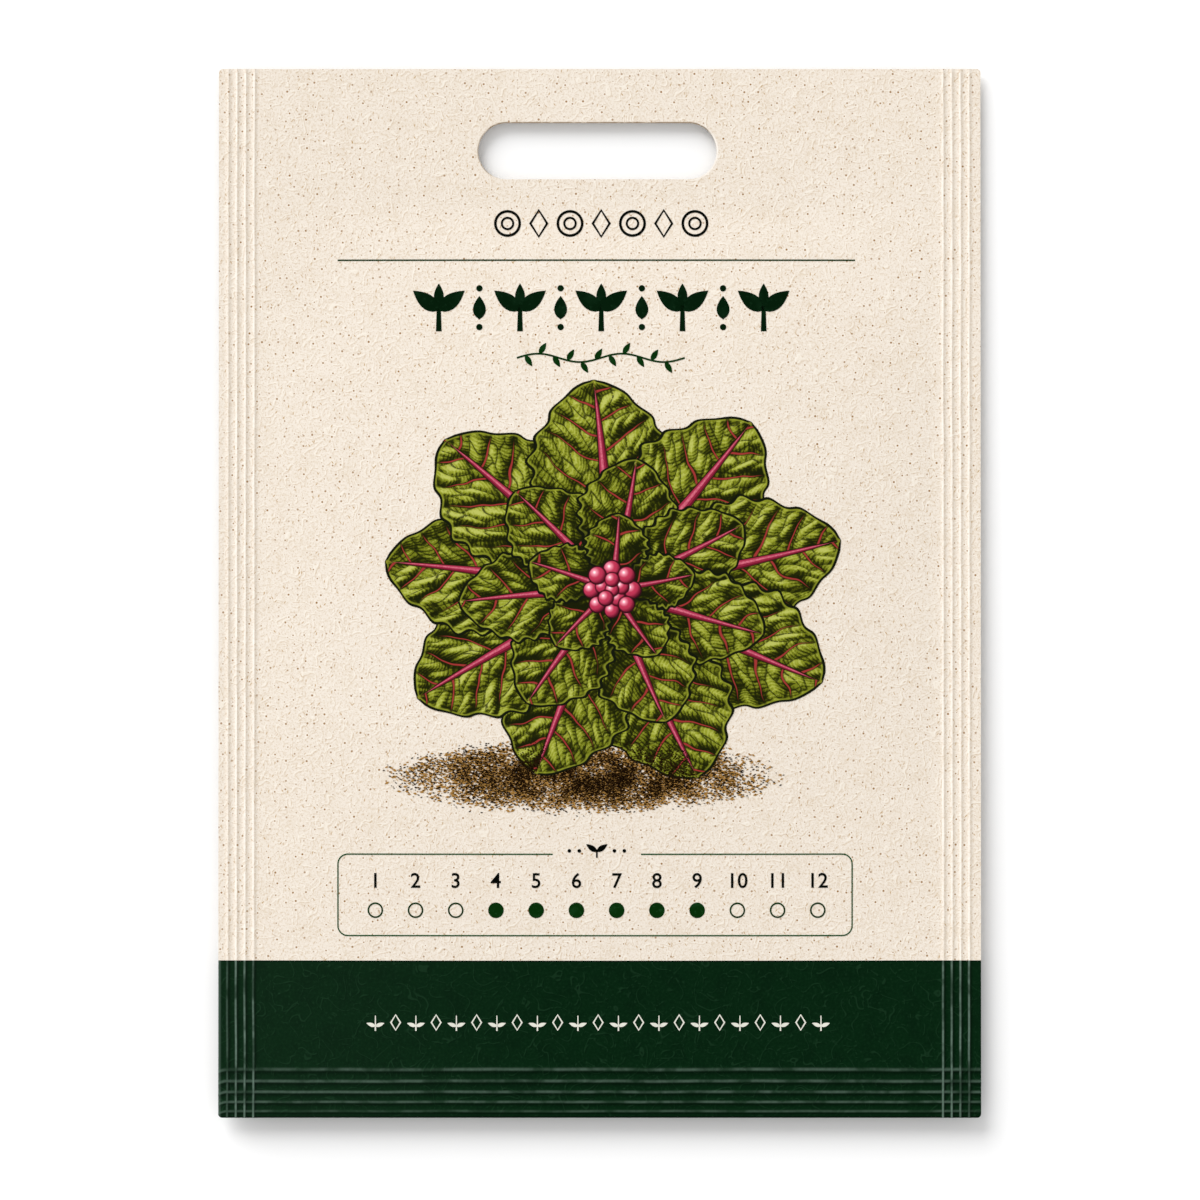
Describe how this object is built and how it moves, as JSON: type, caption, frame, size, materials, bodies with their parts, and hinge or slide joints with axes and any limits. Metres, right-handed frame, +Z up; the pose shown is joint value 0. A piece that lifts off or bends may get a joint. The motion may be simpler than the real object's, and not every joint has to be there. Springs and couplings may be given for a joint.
{
  "type": "seed packet",
  "caption": "Flat sealed paper packet of seeds with a hang slot at the top, ribbed side and foot seals and a dark green band.",
  "frame": {"origin": "on the surface the packet lies on, under the middle of its outline", "axes": "+X towards the printed front's right, +Y towards the packet's top and its hang slot, +Z up out of the printed front"},
  "size_m": [0.1, 0.1376, 0.0039],
  "materials": {
    "front_paper": "matt uncoated speckled paper, printed",
    "back_paper": "matt uncoated speckled paper, with a plain printed band",
    "seed_husk": "dull corky husk"
  },
  "bodies": {
    "root": {"front_sheet": "front_paper", "back_sheet": "back_paper", "seed_01": "seed_husk", "seed_02": "seed_husk", "seed_03": "seed_husk", "seed_04": "seed_husk", "seed_05": "seed_husk", "seed_06": "seed_husk", "seed_07": "seed_husk", "seed_08": "seed_husk", "seed_09": "seed_husk", "seed_10": "seed_husk", "seed_11": "seed_husk", "seed_12": "seed_husk", "seed_13": "seed_husk", "seed_14": "seed_husk", "seed_15": "seed_husk", "seed_16": "seed_husk", "seed_17": "seed_husk", "seed_18": "seed_husk", "seed_19": "seed_husk", "seed_20": "seed_husk", "seed_21": "seed_husk", "seed_22": "seed_husk", "seed_23": "seed_husk", "seed_24": "seed_husk", "seed_25": "seed_husk", "seed_26": "seed_husk", "seed_27": "seed_husk", "seed_28": "seed_husk", "seed_29": "seed_husk", "seed_30": "seed_husk", "seed_31": "seed_husk", "seed_32": "seed_husk", "seed_33": "seed_husk", "seed_34": "seed_husk", "seed_35": "seed_husk", "seed_36": "seed_husk", "seed_37": "seed_husk", "seed_38": "seed_husk", "seed_39": "seed_husk", "seed_40": "seed_husk"}
  },
  "joints": []
}
